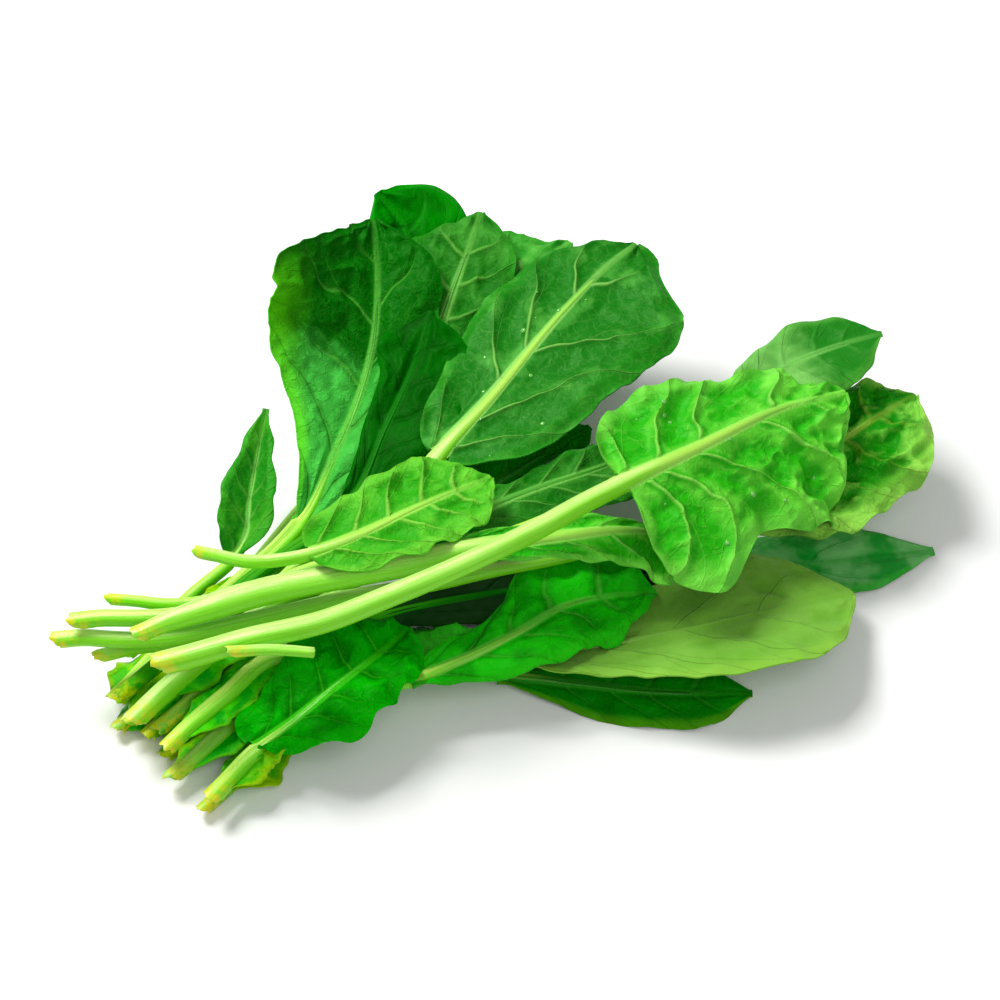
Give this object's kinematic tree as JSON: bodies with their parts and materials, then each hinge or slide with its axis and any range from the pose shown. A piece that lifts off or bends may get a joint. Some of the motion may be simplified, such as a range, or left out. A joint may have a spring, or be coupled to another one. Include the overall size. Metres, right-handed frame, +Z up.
{
  "type": "spinach bunch",
  "caption": "Loose bunch of fresh spinach lying on its side: pale stalks gathered at the cut end and thin, waved leaf blades fanning out.",
  "frame": {"origin": "middle of the bunch's footprint, on the table", "axes": "+X along the bunch from the cut ends towards the blades, +Y across it, +Z up"},
  "size_m": [0.293, 0.2434, 0.0671],
  "materials": {
    "stalk": "fresh pale green plant stalk, smooth and slightly waxy",
    "dark leaf": "fresh dark green leaf, satin and slightly waxy",
    "green leaf": "fresh mid green leaf, satin and slightly waxy",
    "pale leaf": "fresh yellow-green leaf, dull underside"
  },
  "bodies": {
    "root": {"leaf_01_stalk": "stalk", "leaf_01_blade": "dark leaf", "leaf_02_stalk": "stalk", "leaf_02_blade": "dark leaf", "leaf_03_stalk": "stalk", "leaf_03_blade": "dark leaf", "leaf_04_stalk": "stalk", "leaf_04_blade": "pale leaf", "leaf_05_stalk": "stalk", "leaf_05_blade": "dark leaf", "leaf_06_stalk": "stalk", "leaf_06_blade": "dark leaf", "leaf_07_stalk": "stalk", "leaf_07_blade": "green leaf", "leaf_08_stalk": "stalk", "leaf_08_blade": "green leaf", "leaf_09_stalk": "stalk", "leaf_09_blade": "dark leaf", "leaf_10_stalk": "stalk", "leaf_10_blade": "dark leaf", "leaf_11_stalk": "stalk", "leaf_11_blade": "dark leaf", "leaf_12_stalk": "stalk", "leaf_12_blade": "dark leaf", "leaf_13_stalk": "stalk", "leaf_13_blade": "dark leaf", "leaf_14_stalk": "stalk", "leaf_14_blade": "green leaf", "stub_01_stalk": "stalk", "leaf_15_stalk": "stalk", "leaf_15_blade": "dark leaf", "leaf_16_stalk": "stalk", "leaf_16_blade": "green leaf", "leaf_17_stalk": "stalk", "leaf_17_blade": "green leaf", "leaf_18_stalk": "stalk", "leaf_18_blade": "green leaf", "leaf_19_stalk": "stalk", "leaf_19_blade": "green leaf", "leaf_20_stalk": "stalk", "leaf_20_blade": "pale leaf", "stub_02_stalk": "stalk"}
  },
  "joints": []
}
